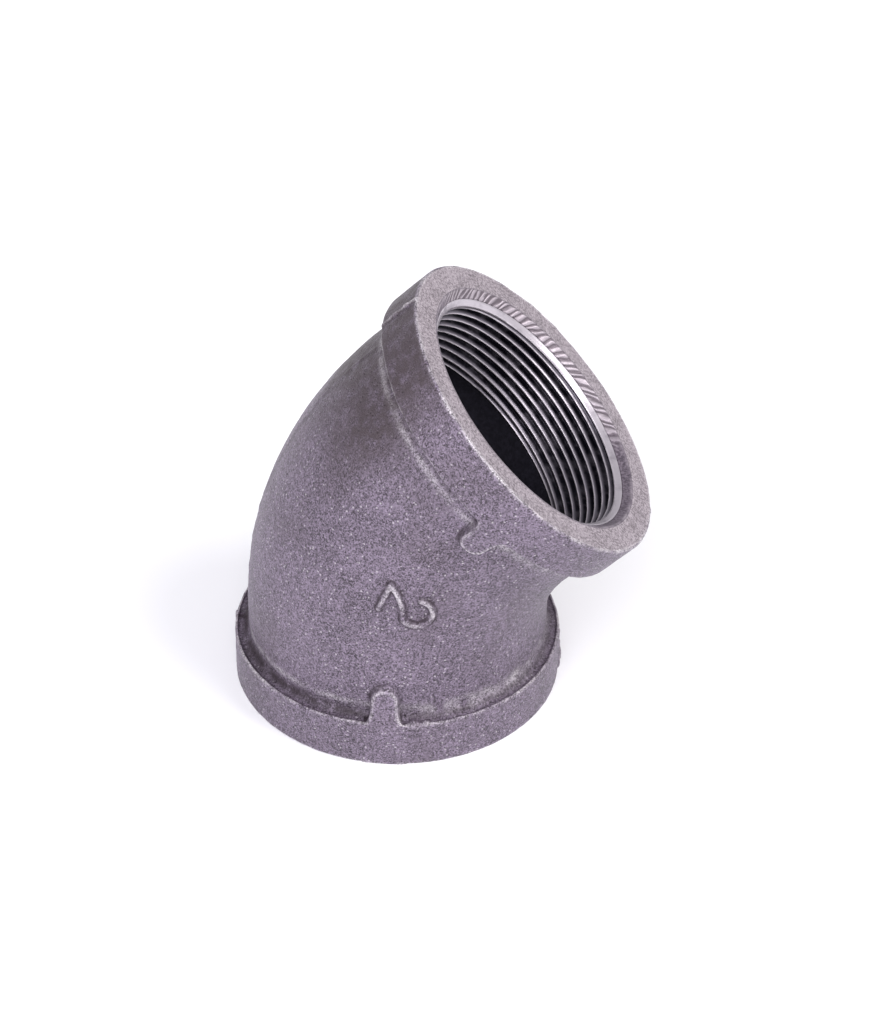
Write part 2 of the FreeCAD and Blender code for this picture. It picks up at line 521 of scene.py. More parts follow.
@dataclass(frozen=True)
class CastSkin:
    """Sand-cast iron skin: mauve grey, gritty, darker in hollows with painted shade, bright where rubbed
    and with painted highlights and glints.
    """

    dark: Colour = (0.03, 0.022, 0.031)
    light: Colour = (0.266, 0.212, 0.29)
    painted_shade_colour: Colour = (0.029, 0.017, 0.026)
    rubbed_and_glint: Colour = (0.62, 0.58, 0.61)
    rust_and_shade_tint: Colour = (0.064, 0.046, 0.055)
    cloud_size: float = 0.016
    blotch_size: float = 0.0028
    lump_size: float = 0.0013
    glint_size: float = 0.0012
    pit_size: float = 0.0009
    grain_size: float = 0.00036
    sand_size: float = 0.0003

    def make(self) -> bpy.types.Material:
        """Build the material."""
        bench = Bench("cast_skin")
        blotch = bench.noise(self.blotch_size, 4.0, 0.6)
        _, sand = bench.cells(self.sand_size)
        grain = bench.weigh((bench.noise(self.grain_size, 2.0, 0.6), 0.55), (sand, 0.45))
        pit = self.pits(bench)
        base = self.clean(bench, grain, blotch)
        # Pits darkened with painted shade.
        base = bench.blend(bench.times(pit, 0.3), base, self.painted_shade_colour)
        # Rust, with painted shade on the bend's outer side below the upper band.
        base = bench.blend(self.blotchy(bench, "rust_and_painted_shade", blotch, 0.15), base, self.rust_and_shade_tint)
        # Painted shade in the bands' roots, beside the ridge and round the feet of the lugs and the
        # numeral.
        base = bench.blend(self.blotchy(bench, "painted_shade", blotch, 0.25), base, self.painted_shade_colour)
        # Rubbed edges with painted highlights, and painted glints on the grain, lighten the skin.
        gritty_share = bench.weigh((bench.ramp(grain, 0.35, 0.6), 0.6), base=0.25)
        wear_and_highlight = bench.times(bench.reading("wear_and_highlight"), gritty_share)
        wear_and_highlight = bench.maths("MAXIMUM", wear_and_highlight, bench.times(self.painted_glints(bench), 0.55))
        base = bench.blend(wear_and_highlight, base, self.rubbed_and_glint)
        rough = bench.weigh((blotch, 0.2), (wear_and_highlight, -0.18), base=0.34)
        height = bench.weigh((grain, 1.0), (pit, -0.7))
        lumps = bench.relief(bench.noise(self.lump_size, 3.0, 0.55), 0.00022, 0.8)
        normal = bench.relief(height, 0.00034, 1.0, lumps)
        return bench.finish(
            Base_Color=base, Roughness=rough, Normal=normal, Metallic=0.3, Specular_IOR_Level=0.6
        )

    def clean(self, bench: Bench, grain: object, blotch: object) -> bpy.types.NodeSocket:
        """Colour of the bare skin, from the sand grain with broader blotches and clouds."""
        cloud = bench.noise(self.cloud_size, 3.0)
        tone = bench.weigh((grain, 0.75), (blotch, 0.12), (cloud, 0.13))
        return bench.blend(bench.ramp(tone, 0.3, 0.7), self.dark, self.light)

    def pits(self, bench: Bench) -> bpy.types.NodeSocket:
        """Where small pits are: the middles of some of the cells."""
        distance, colour = bench.cells(self.pit_size)
        return bench.times(bench.ramp(distance, 0.42, 0.12), bench.ramp(colour, 0.62, 0.7))

    def painted_glints(self, bench: Bench) -> bpy.types.NodeSocket:
        """Where painted glints are: bright specks for the grain's sparkle, on skin that is free of rust and
        painted shade.
        """
        distance, colour = bench.cells(self.glint_size)
        glint = bench.times(bench.ramp(distance, 0.26, 0.1), bench.ramp(colour, 0.42, 0.5))
        covered = bench.maths("MAXIMUM", bench.reading("rust_and_painted_shade"), bench.reading("painted_shade"))
        return bench.times(glint, bench.maths("SUBTRACT", 1.0, covered))

    def blotchy(self, bench: Bench, label: str, blotch: object, low: float) -> bpy.types.NodeSocket:
        """One of the mesh's readings, broken up by the blotches above a low value."""
        return bench.times(bench.reading(label), bench.ramp(blotch, low, 0.6))


@dataclass(frozen=True)
class FacedEnd:
    """Turned end face: warm grey, fine grain, faint turning lines."""

    low: Colour = (0.17, 0.142, 0.16)
    high: Colour = (0.50, 0.44, 0.48)
    edge: Colour = (0.85, 0.80, 0.83)
    blotchy: Colour = (0.10, 0.078, 0.088)

    def make(self) -> bpy.types.Material:
        """Build the material."""
        bench = Bench("faced_end")
        drum = bench.reading("drum", vector=True)
        lines = bench.noise(1.0, 3.0, 0.6, bench.stretched(drum, (0.1, 0.1, 4.0)))
        blotch = bench.noise(0.0035, 4.0, 0.6)
        grain = bench.noise(0.0005, 2.0, 0.6)
        tone = bench.weigh((blotch, 0.2), (lines, 0.15), (grain, 0.65))
        base = bench.blend(bench.ramp(tone, 0.36, 0.64), self.low, self.high)
        blotchy = bench.times(bench.ramp(bench.noise(0.006, 2.0), 0.58, 0.8), 0.45)
        base = bench.blend(blotchy, base, self.blotchy)
        # Rubbed edges with painted highlights lighten the face's rim and the mouth's lip.
        gritty_share = bench.weigh((bench.ramp(grain, 0.35, 0.55), 0.55), base=0.25)
        base = bench.blend(bench.times(bench.reading("wear_and_highlight"), gritty_share), base, self.edge)
        rough = bench.weigh((blotch, 0.25), base=0.38)
        normal = bench.relief(lines, 0.00003, 0.5)
        normal = bench.relief(grain, 0.00016, 0.8, normal)
        return bench.finish(Base_Color=base, Roughness=rough, Normal=normal, Metallic=0.4)


@dataclass(frozen=True)
class RoughBevel:
    """Bevel torn by a chattering tool: bright metal with dark strokes down it."""

    stroke: Colour = (0.15, 0.125, 0.145)
    metal: Colour = (0.44, 0.39, 0.43)
    soot: Colour = (0.1, 0.08, 0.105)
    worn: Colour = (0.24, 0.2, 0.245)
    stroke_spacing: float = 1.9
    stroke_wander: float = 8.0

    def make(self) -> bpy.types.Material:
        """Build the material."""
        bench = Bench("rough_bevel")
        chatter = bench.reading("chatter")
        unrolled = bench.reading("unrolled", vector=True)
        strokes = bench.ripple(unrolled, self.stroke_spacing, self.stroke_wander)
        grain = bench.noise(0.0006, 3.0, 0.6)
        plain = bench.blend(bench.ramp(grain, 0.35, 0.65), self.soot, self.worn)
        # The mouth's lip is lightened by rubbing and a painted highlight.
        plain = bench.blend(bench.reading("wear_and_highlight"), plain, self.metal)
        torn = bench.blend(bench.ramp(strokes, 0.1, 0.85), self.stroke, self.metal)
        base = bench.blend(chatter, plain, torn)
        height = bench.maths("ADD", bench.times(strokes, chatter), bench.times(grain, 0.3))
        normal = bench.relief(height, 0.00025, 0.9)
        rough = bench.weigh((grain, 0.3), base=0.35)
        return bench.finish(Base_Color=base, Roughness=rough, Normal=normal, Metallic=0.6)


@dataclass(frozen=True)
class CutThread:
    """Tapped thread and lead-in cone: painted highlights on the crests, painted shade in the roots."""

    crest_highlight: Colour = (0.72, 0.67, 0.72)
    flank: Colour = (0.19, 0.172, 0.205)
    root: Colour = (0.008, 0.007, 0.014)

    def make(self) -> bpy.types.Material:
        """Build the material."""
        bench = Bench("cut_thread")
        drum = bench.reading("drum", vector=True)
        lines = bench.noise(1.0, 3.0, 0.6, bench.stretched(drum, (0.08, 0.08, 5.0)))
        blotch = bench.noise(0.004, 3.0, 0.6)
        deep = bench.reading("groove")
        # Painted highlight on the crests and painted shade in the roots, set by the groove's depth.
        base = bench.blend(bench.ramp(deep, 0.0, 0.2), self.crest_highlight, self.flank)
        base = bench.blend(bench.ramp(deep, 0.15, 0.6), base, self.root)
        base = bench.blend(bench.times(bench.ramp(blotch, 0.45, 0.72), 0.5), base, self.flank)
        normal = bench.relief(lines, 0.00003, 0.6)
        rough = bench.weigh((blotch, 0.25), base=0.25)
        return bench.finish(Base_Color=base, Roughness=rough, Normal=normal, Metallic=0.75)


@dataclass(frozen=True)
class CoredWall:
    """Cored passage: dark, burnt on, lightly scaled."""

    scale: Colour = (0.026, 0.023, 0.038)
    burnt: Colour = (0.012, 0.010, 0.019)

    def make(self) -> bpy.types.Material:
        """Build the material."""
        bench = Bench("cored_wall")
        grain = bench.noise(0.0012, 4.0, 0.6)
        base = bench.blend(bench.ramp(grain, 0.35, 0.7), self.burnt, self.scale)
        normal = bench.relief(grain, 0.0002, 0.6)
        return bench.finish(Base_Color=base, Roughness=0.75, Normal=normal, Metallic=0.2)


@dataclass(frozen=True)
class PaleFloor:
    """Matt white table."""

    colour: Colour = (0.86, 0.86, 0.875)
    shade: float = 0.98
    glow: float = 0.1

    def make(self) -> bpy.types.Material:
        """Build the material."""
        bench = Bench("pale_floor")
        shaded = tuple(self.shade * part for part in self.colour)
        base = bench.blend(bench.noise(0.25, 2.0), self.colour, shaded)
        return bench.finish(
            Base_Color=base, Roughness=0.75, Emission_Color=(*self.colour, 1.0), Emission_Strength=self.glow
        )


# --------------------------------------------------------------------------
# The casting
# --------------------------------------------------------------------------


@dataclass(frozen=True)
class Band:
    """Reinforcing band round one port, with its lugs, in depth from the end face."""

    height: float
    radius: float = 37.5
    barrel: float = 34.3
    face_round: float = 0.5
    shelf_round: float = 0.6
    shelf_dip: float = 0.35
    root_fillet: float = 2.3
    lug_width: float = 6.2
    lug_reach: float = 8.3
    lug_corner: float = 2.75
    lug_softness: float = 0.1
    lug_flare: float = 1.7
    flare_start: float = 0.4
    flare_reach: float = 1.2
    lug_slope: float = 0.2
    row_spacing: float = 0.42

    @property
    def root_end(self) -> float:
        """Depth at which the root fillet has become the barrel."""
        return self.height - self.shelf_dip + self.root_fillet

    @property
    def lug_top(self) -> float:
        """Depth of the lug's free end."""
        return self.height + self.lug_reach

    def profile(self) -> np.ndarray:
        """Outline from the face's outer corner to the end of the root fillet.

        Returns:
            Rows of radius, depth and the depth that a lug's surface has there.
        """
        quarter = np.linspace(0.0, math.pi / 2, 7)
        edge = self.radius - self.face_round
        shelf = self.radius - self.shelf_round
        foot = self.barrel + self.root_fillet
        level = self.height - self.shelf_dip
        rows = [
            (edge + self.face_round * math.sin(angle), self.face_round * (1 - math.cos(angle)))
            for angle in quarter
        ]
        side = steps(self.face_round, self.height - self.shelf_round, self.row_spacing)[1:]
        rows += [(self.radius, depth) for depth in side]
        turn = len(rows)
        rows += [
            (
                shelf + self.shelf_round * math.cos(angle),
                self.height - self.shelf_round * (1 - math.sin(angle)),
            )
            for angle in quarter
        ]
        rows.append(((shelf + foot) / 2, (self.height + level) / 2))
        rows += [
            (
                foot - self.root_fillet * math.sin(angle),
                level + self.root_fillet * (1 - math.cos(angle)),
            )
            for angle in np.linspace(0.0, math.pi / 2, 10)
        ]
        table = np.array(rows)
        lug = table[:, 1].copy()
        lug[turn:] = np.linspace(table[turn, 1], self.root_end, len(rows) - turn)
        return np.column_stack([table, lug])

    def lug_gap(self, across: np.ndarray, depth: np.ndarray) -> np.ndarray:
        """Distance outside a lug's outline, negative on the lug.

        Args:
            across: Distance from the lug's centre line.
            depth: Depth from the end face.

        Returns:
            Array of the inputs' shape.
        """
        corner = self.lug_corner
        beyond = np.maximum(depth - self.height + self.flare_start, 0.0)
        flare = self.lug_flare * np.exp(-beyond / self.flare_reach)
        side = np.abs(across) - (self.lug_width / 2 - corner) - flare
        end = depth - (self.lug_top - corner)
        outside = np.hypot(np.maximum(side, 0.0), np.maximum(end, 0.0))
        inside = np.minimum(np.maximum(side, end), 0.0)
        return outside + inside - corner

    def lug_radius(self, across: np.ndarray, depth: np.ndarray) -> np.ndarray:
        """Distance of a lug's flat top from the port's axis.

        Args:
            across: Distance from the lug's centre line.
            depth: Depth from the end face.

        Returns:
            Array of the inputs' shape.
        """
        fall = self.lug_slope * np.maximum(depth - self.height, 0.0)
        flat = math.sqrt(self.radius**2 - (self.lug_width / 2) ** 2)
        return np.minimum(self.radius, np.hypot(flat, across)) - fall


@dataclass(frozen=True)
class Numeral:
    """Raised 2 on the front of the barrel, a single round-ended stroke."""

    height: float = 11.25
    breadth: float = 7.8
    bowl: float = 3.5
    foot: float = 6.9
    hook_end: float = 186.0
    neck_start: float = -35.0
    neck_bow: float = 0.85
    shift: float = 1.35
    width: float = 1.2
    relief: float = 0.75
    softness: float = 0.08

    def path(self) -> np.ndarray:
        """Points along the stroke, in its own plane, with its heel at the origin."""
        centre = np.array([self.breadth - self.bowl, self.height - self.bowl])
        angles = np.radians(np.linspace(self.hook_end, self.neck_start, 40))
        bowl = centre + self.bowl * np.column_stack([np.cos(angles), np.sin(angles)])
        start = bowl[-1]
        part = np.linspace(0.0, 1.0, 20)[1:, None]
        across = np.array([-start[1], start[0]]) / np.hypot(*start)
        neck = start * (1 - part) + across * self.neck_bow * 4 * part * (1 - part)
        foot = np.array([[self.foot * 0.5, 0.0], [self.foot, 0.0]])
        return np.vstack([bowl, neck, foot])

    def gap(self, points: np.ndarray, run: Run) -> np.ndarray:
        """Distance outside the stroke of points on the front of the barrel.

        Args:
            points: Array of shape (count, 3), in millimetres.
            run: The barrel's centre line.

        Returns:
            Array of shape (count,), negative on the stroke.
        """
        half = run.bend / 2
        along = np.array([math.sin(half), math.cos(half)])
        outward = np.array([math.cos(half), -math.sin(half)])
        middle = run.points(np.array(run.length / 2), np.array(0.0), np.array(0.0))[[0, 2]]
        flat = points[:, [0, 2]] - (middle + along * self.shift)
        spot = np.column_stack([self.breadth / 2 - flat @ along, self.height / 2 + flat @ outward])
        line = self.path()
        nearest = np.full(len(points), FAR)
        for start, end in zip(line[:-1], line[1:]):
            leg = end - start
            share = np.clip((spot - start) @ leg / (leg @ leg), 0.0, 1.0)
            gap = np.hypot(*(spot - start - share[:, None] * leg).T)
            nearest = np.minimum(nearest, gap)
        return nearest - self.width / 2


@dataclass(frozen=True)
class Blob:
    """Small lump of stray metal left by the mould."""

    spot: Place
    reach: float
    height: float


@dataclass(frozen=True)
class SkinNoise:
    """One unevenness of the metal: its pattern, feature size, layers and height."""

    seed: int
    size: float
    layers: int
    height: float = 1.0

    def over(self, points: np.ndarray) -> np.ndarray:
        """Value at each point, in the height's own unit."""
        return LatticeNoise(self.seed).layered(points, self.size, self.layers) * self.height


@dataclass
class Casting:
    """The whole iron casting, outside skin and cored passage, as one closed shell."""

    lower: Band = Band(height=11.3)
    upper: Band = Band(height=10.6)
    numeral: Numeral = Numeral()
    outer: Run = Run(straight=18.7)
    core: Run = Run(straight=22.0)
    mouth_radius: float = 31.0
    bevel_inner_radius: float = 29.55
    bevel_depth: float = 1.6
    seat_radius: float = 31.3
    thread_end: float = 21.4
    core_radius: float = 30.1
    fine: float = 0.15
    lug_spacing: float = 0.17
    coarse: float = 0.5
    face_spacing: float = 0.45
    core_spacing: float = 1.1
    lug_margin: float = 1.2
    numeral_margin: float = 1.8
    box_margin: float = 0.01
    flash_height: float = 0.7
    flash_width: float = 0.5
    drum_radius: float = 30.0
    unrolled_lean: float = 1.1
    wander: SkinNoise = SkinNoise(83, 7.0, 3, 0.22)
    lumps: SkinNoise = SkinNoise(11, 5.2, 3, 0.055)
    grit: SkinNoise = SkinNoise(23, 1.15, 2, 0.03)
    ragged: SkinNoise = SkinNoise(5, 2.4, 3)
    patchy_wear_and_highlight: SkinNoise = SkinNoise(41, 2.6, 3)
    patchy_rust: SkinNoise = SkinNoise(61, 14.0, 3)
    stray: tuple[Blob, ...] = (
        Blob((6.6, -36.4, 11.2), 1.1, 1.1),
        Blob((9.2, -35.6, 11.2), 0.8, 0.7),
        Blob((-11.5, -31.0, 30.0), 0.8, 0.25),
    )

    NODES = (
        "barrel", "lower_band", "upper_band", "lower_front_lug", "lower_back_lug",
        "upper_front_lug", "upper_back_lug", "size_numeral",
    )

    # First angle, last angle and spacing of the columns, in degrees: closest together over the
    # lugs, the numeral and the flash.
    STRETCHES = (
        (-101.5, -78.5, 0.24), (-78.5, -3.0, 0.72), (-3.0, 3.0, 0.2), (3.0, 83.0, 0.66),
        (83.0, 97.0, 0.26), (97.0, 177.0, 0.72), (177.0, 183.0, 0.2), (183.0, 258.5, 0.72),
    )

    def turns(self) -> np.ndarray:
        """Angles of the columns."""
        return np.radians(np.concatenate([steps(*stretch) for stretch in self.STRETCHES]))

    def barrel_rows(self) -> np.ndarray:
        """Lengths along the run of the barrel's rows, between the two root fillets."""
        low = self.lower.root_end
        high = self.outer.length - self.upper.root_end
        lug_low = self.lower.lug_top + self.lug_margin
        lug_high = self.outer.length - self.upper.lug_top - self.lug_margin
        middle = self.outer.length / 2 + self.numeral.shift
        reach = self.numeral.breadth / 2 + self.numeral_margin
        return np.concatenate(
            [
                steps(low, lug_low, self.lug_spacing)[1:],
                steps(lug_low, middle - reach, self.coarse),
                steps(middle - reach, middle + reach, self.fine),
                steps(middle + reach, lug_high, self.coarse),
                steps(lug_high, high, self.lug_spacing),
            ]
        )

    def rows(self) -> Rows:
        """Every row of the shell, once round its wall.

        Returns:
            Arrays of radius, length along the run, the lug's length along the run,
            whether the row follows the core's centre line, and region.
        """
        outer = self.outer.length
        core = self.core.length
        out = [(radius, depth, lug, False, Region.SKIN) for radius, depth, lug in self.lower.profile()]
        out += [(self.lower.barrel, along, along, False, Region.SKIN) for along in self.barrel_rows()]
        for radius, depth, lug in self.upper.profile()[::-1]:
            out.append((radius, outer - depth, outer - lug, False, Region.SKIN))
        for radius, depth, region in self.wall_rows(self.upper):
            out.append((radius, core - depth, core - depth, True, region))
        for along in steps(core - self.thread_end, self.thread_end, self.core_spacing):
            out.append((self.core_radius, along, along, True, Region.CORE))
        for radius, depth, region in self.wall_rows(self.lower)[::-1]:
            out.append((radius, depth, depth, True, region))
        radii, alongs, lugs, cores, regions = zip(*out)
        return {
            "radius": np.array(radii),
            "along": np.array(alongs),
            "lug": np.array(lugs),
            "core": np.array(cores),
            "region": np.array([region.value for region in regions]),
        }

    @staticmethod
    def on(rows: Rows, region: Region) -> np.ndarray:
        """Whether each row is on a region, as one column."""
        return rows["region"][:, None] == region.value

    def wall_rows(self, band: Band) -> list[tuple[float, float, Region]]:
        """Rows from the face's outer corner, across it and down the mouth to the passage.

        Args:
            band: The band whose face this is.

        Returns:
            Radius, depth and region of each row.
        """
        face = steps(band.radius - band.face_round, self.mouth_radius, self.face_spacing)[1:]
        rows = [(radius, 0.0, Region.FACE) for radius in face]
        cone = np.linspace((self.mouth_radius, 0.0), (self.bevel_inner_radius, self.bevel_depth), 8)
        rows += [(radius, depth, Region.BEVEL) for radius, depth in cone]
        seat = np.linspace(self.bevel_depth + 0.12, self.thread_end - 0.1, 5)
        rows += [(self.seat_radius, depth, Region.CORE) for depth in seat]
        return rows

    def shape(self) -> Mesher:
        """Work out the shell's points, faces and surface readings."""
        turn = self.turns()[None, :]
        rows = self.rows()
        count = (len(rows["radius"]), turn.shape[1])
        radius = np.repeat(rows["radius"][:, None], count[1], axis=1)
        along = np.repeat(rows["along"][:, None], count[1], axis=1)
        lug_along = rows["lug"][:, None]
        wide = np.broadcast_to(turn, count)
        skin = self.on(rows, Region.SKIN)
        cover = np.zeros(count)
        gap = np.full(count, FAR)
        for band, depth in ((self.lower, lug_along), (self.upper, self.outer.length - lug_along)):
            for side in (-1.0, 1.0):
                front = (np.sin(wide) * side > 0.9) & skin
                across = 0.5 * (band.radius + band.barrel) * np.cos(wide)
                apart = np.where(front, band.lug_gap(across, np.broadcast_to(depth, count)), FAR)
                here = soft_edge(apart, band.lug_softness)
                target = band.lug_radius(across, np.broadcast_to(depth, count))
                radius = radius + np.maximum(target - radius, 0.0) * here
                near = smooth_step(2.0, 0.0, depth - band.root_end)
                along = along + (lug_along - along) * here * near
                cover = np.maximum(cover, here * (depth > band.height - band.shelf_round))
                gap = np.where((apart < gap) & (depth > band.height - 0.2), apart, gap)
        ripple = self.wander.over(self.outer.points(along, radius, wide))
        for band, way in ((self.lower, 1.0), (self.upper, -1.0)):
            depth = along if way > 0 else self.outer.length - along
            along = along + way * ripple * bell(depth, band.height, 0.9) * skin * (1 - cover)
        points = np.where(
            rows["core"][:, None, None],
            self.core.points(along, radius, wide),
            self.outer.points(along, radius, wide),
        )
        return self.dress(points, rows, wide, cover, gap)

    def dress(
        self, points: np.ndarray, rows: Rows, turn: np.ndarray, cover: np.ndarray, gap: np.ndarray
    ) -> Mesher:
        """Add the numeral, the casting's unevenness, the flash and the surface readings.

        Args:
            points: Points of the plain shell, shape (rows, columns, 3).
            rows: The rows' readings.
            turn: Angle of every point.
            cover: Where the lugs stand.
            gap: Distance outside the nearest lug's outline, negative on the lug.

        Returns:
            The finished shell.
        """
        skin = self.on(rows, Region.SKIN)
        radius = rows["radius"][:, None]
        outside = self.numeral_gap(points, rows, turn)
        stroke = soft_edge(outside, self.numeral.softness)
        lumps = self.lumps.over(points)
        grit = self.grit.over(points)
        height = (lumps + grit) * skin + grit * self.on(rows, Region.BEVEL)
        height = height + (0.25 * lumps + 0.4 * grit) * self.on(rows, Region.FACE)
        height = height + self.numeral.relief * stroke + self.flash(turn, rows, points)
        height = height + self.blobs(points) * skin
        moved = points + self.normals(points) * height[..., None]
        low = np.array(CAD_BOX[0]) / MM + self.box_margin
        high = np.array(CAD_BOX[1]) / MM - self.box_margin
        moved = self.behind_faces(np.clip(moved, low, high))
        drum = (self.drum_radius * np.cos(turn), self.drum_radius * np.sin(turn), radius)
        unrolled = (self.drum_radius * turn + self.unrolled_lean * radius, radius, 0.0)
        readings = {
            "wear_and_highlight": self.single(self.wear_and_highlight(rows, cover, gap, turn, stroke, points), turn),
            "painted_shade": self.single(self.painted_shade(rows, cover, gap, turn, outside), turn),
            "rust_and_painted_shade": self.single(self.rust_and_painted_shade(rows, turn, points), turn),
            "chatter": self.single(self.chatter(turn, rows), turn),
            "drum": self.triple(*drum),
            "unrolled": self.triple(*unrolled),
        }
        columns = turn.shape[1]
        region = rows["region"]
        faces = ring_faces(len(region), columns).tolist()
        face_regions = np.repeat(np.maximum(region, np.roll(region, -1)), columns)
        return Mesher("elbow_casting", moved.reshape(-1, 3), faces, face_regions, readings)

    def numeral_gap(self, points: np.ndarray, rows: Rows, turn: np.ndarray) -> np.ndarray:
        """Distance of every point outside the numeral's stroke, far away from the front.

        Args:
            points: Points of the plain shell.
            rows: The rows' readings.
            turn: Angle of every point.

        Returns:
            Array of turn's shape, negative on the stroke.
        """
        gap = np.full(turn.shape, FAR)
        centre = self.outer.length / 2 + self.numeral.shift
        along = rows["along"][:, None]
        near = self.on(rows, Region.SKIN) & (np.abs(along - centre) < 9.0) & (np.sin(turn) < -0.95)
        gap[near] = self.numeral.gap(points[near], self.outer)
        return gap

    @staticmethod
    def single(values: np.ndarray, turn: np.ndarray) -> np.ndarray:
        """Surface reading of one value for each of turn's points."""
        return np.broadcast_to(values, turn.shape).reshape(-1).astype(np.float32)

    @staticmethod
    def triple(*parts: np.ndarray | float) -> np.ndarray:
        """Surface reading of three values for each point."""
        spread = np.broadcast_arrays(*parts)
        return np.stack(spread, -1).reshape(-1, 3).astype(np.float32)

    def behind_faces(self, points: np.ndarray) -> np.ndarray:
        """Keep points from standing out of the two end faces."""
        points[..., 2] = np.maximum(points[..., 2], 0.0)
        axis = np.array([math.sin(self.outer.bend), 0.0, math.cos(self.outer.bend)])
        centre = self.outer.points(np.array(self.outer.length), np.array(0.0), np.array(0.0))
        over = np.maximum((points - centre) @ axis, 0.0)
        return points - over[..., None] * axis

    @staticmethod
    def normals(points: np.ndarray) -> np.ndarray:
        """Outward unit normals of the closed grid."""
        around = np.roll(points, -1, axis=1) - np.roll(points, 1, axis=1)
        down = np.roll(points, -1, axis=0) - np.roll(points, 1, axis=0)
        cross = np.cross(around, down)
        return cross / np.maximum(np.linalg.norm(cross, axis=-1, keepdims=True), 1e-9)

    def chatter(self, turn: np.ndarray, rows: Rows) -> np.ndarray:
        """Where the bevel is torn by chatter: round its +Y side.

        Args:
            turn: Angle of every point.
            rows: The rows' readings.

        Returns:
            Array of turn's shape, from 0 to 1.
        """
        side = smooth_step(0.25, 0.6, np.sin(turn - 0.12))
        return side * self.on(rows, Region.BEVEL)

    def flash(self, turn: np.ndarray, rows: Rows, points: np.ndarray) -> np.ndarray:
        """Thin ragged ridge where the two halves of the mould met.

        Args:
            turn: Angle of every point.
            rows: The rows' readings.
            points: Points of the plain shell.

        Returns:
            Height of the ridge, in millimetres.
        """
        across = np.abs(np.sin(turn)) * rows["radius"][:, None]
        ragged = 0.5 + 0.5 * self.ragged.over(points * np.array([1.0, 0.05, 1.0]))
        ridge = bell(across, 0.0, self.flash_width) * np.clip(ragged, 0.25, 1.3)
        # The ridge stands four times as high on the bands as on the barrel.
        on_band = smooth_step(35.5, 37.0, rows["radius"][:, None])
        return self.flash_height * ridge * (0.25 + 0.75 * on_band) * self.on(rows, Region.SKIN)

    def blobs(self, points: np.ndarray) -> np.ndarray:
        """Small lumps of stray metal left by the mould.

        Args:
            points: Points of the plain shell.

        Returns:
            Height of the lumps, in millimetres.
        """
        total = np.zeros(points.shape[:-1])
        for blob in self.stray:
            gap = np.linalg.norm(points - np.array(blob.spot), axis=-1)
            total += blob.height * bell(gap, 0.0, blob.reach)
        return total

    def wear_and_highlight(
        self,
        rows: Rows,
        cover: np.ndarray,
        gap: np.ndarray,
        turn: np.ndarray,
        stroke: np.ndarray,
        points: np.ndarray,
    ) -> np.ndarray:
        """Rubbed edges and painted highlights: the corners of the faces and bands, the fillets, the lugs,
        the parting ridge and the numeral.

        Args:
            rows: The rows' readings.
            cover: Where the lugs stand.
            gap: Distance outside the nearest lug's outline, negative on the lug.
            turn: Angle of every point.
            stroke: Where the numeral stands.
            points: Points of the plain shell.

        Returns:
            Array of cover's shape, from 0 to 1.
        """
        radius = rows["radius"][:, None]
        depth = self.face_depth(rows)[:, None]
        rim = bell(radius, self.lower.radius - 0.25, 0.35) * bell(depth, 0.0, 0.45)
        lip = bell(radius, self.mouth_radius, 0.3) * bell(depth, 0.0, 0.4)
        shelf = np.zeros(radius.shape)
        fillet = np.zeros(cover.shape)
        inner = smooth_step(-0.1, 0.4, np.cos(turn))
        for band, reach in ((self.lower, rows["along"]), (self.upper, self.outer.length - rows["along"])):
            beyond = reach[:, None] - band.height
            shelf = shelf + bell(beyond, 0.0, 0.4) * (radius > band.radius - 0.5)
            # The fillet's gritty line is a painted highlight; on the bend's inner side it is lower, broader
            # and brighter.
            line = bell(beyond, 3.1 - 1.1 * inner, 0.8 + 0.6 * inner)
            fillet = fillet + (0.45 + 0.15 * inner) * line
        # Painted highlights on the lugs' rims, the top of the numeral and the parting ridge.
        lug_edge = bell(gap, -0.45, 0.38)
        parting = bell(points[..., 1], 0.0, 0.45) * (radius > self.lower.radius - 0.3)
        on_band = rim * 1.1 + lip * 0.6 + shelf * 0.65 * (1 - cover)
        raised = lug_edge * 0.75 + stroke**3 * 0.8 + parting * 0.7
        patchy = 0.75 + 0.9 * self.patchy_wear_and_highlight.over(points)
        return np.clip((on_band + raised + fillet * (1 - cover)) * patchy, 0.0, 1.0)

    def painted_shade(
        self, rows: Rows, cover: np.ndarray, gap: np.ndarray, turn: np.ndarray, outside: np.ndarray
    ) -> np.ndarray:
        """Painted shade in the bands' roots, beside the mould's ridge and at the foot of the lugs and
        numeral.

        Args:
            rows: The rows' readings.
            cover: Where the lugs stand.
            gap: Distance outside the nearest lug's outline, negative on the lug.
            turn: Angle of every point.
            outside: Distance outside the numeral's stroke, negative on it.

        Returns:
            Array of cover's shape, from 0 to 1.
        """
        radius = rows["radius"][:, None]
        facing = np.cos(turn)
        inner = smooth_step(-0.1, 0.4, facing)
        root = np.zeros(cover.shape)
        ends = ((self.lower, rows["along"], 1.0), (self.upper, self.outer.length - rows["along"], 0.35))
        for band, reach, share in ends:
            beyond = reach[:, None] - band.height
            # The painted shade reaches less far up the fillet on the bend's inner side.
            width = np.where(beyond < 0.5, 0.9, 1.3 - 1.0 * inner)
            root = root + share * bell(beyond, 0.5, width) * smooth_step(37.2, 36.7, radius)
        # Painted shadow at the foot of the lugs, deepest on their -X side away from the key light, and
        # painted shade round the numeral's foot.
        lug_foot = bell(gap, 0.4, 0.5) * (0.35 + 0.65 * smooth_step(0.02, -0.04, facing))
        numeral_foot = bell(outside, 0.3, 0.33)
        # Painted shadow line beside the parting ridge, on its -Y side on the bend's outer side.
        beside_ridge = bell(radius * np.sin(turn), -1.3, 0.7) * (facing < 0)
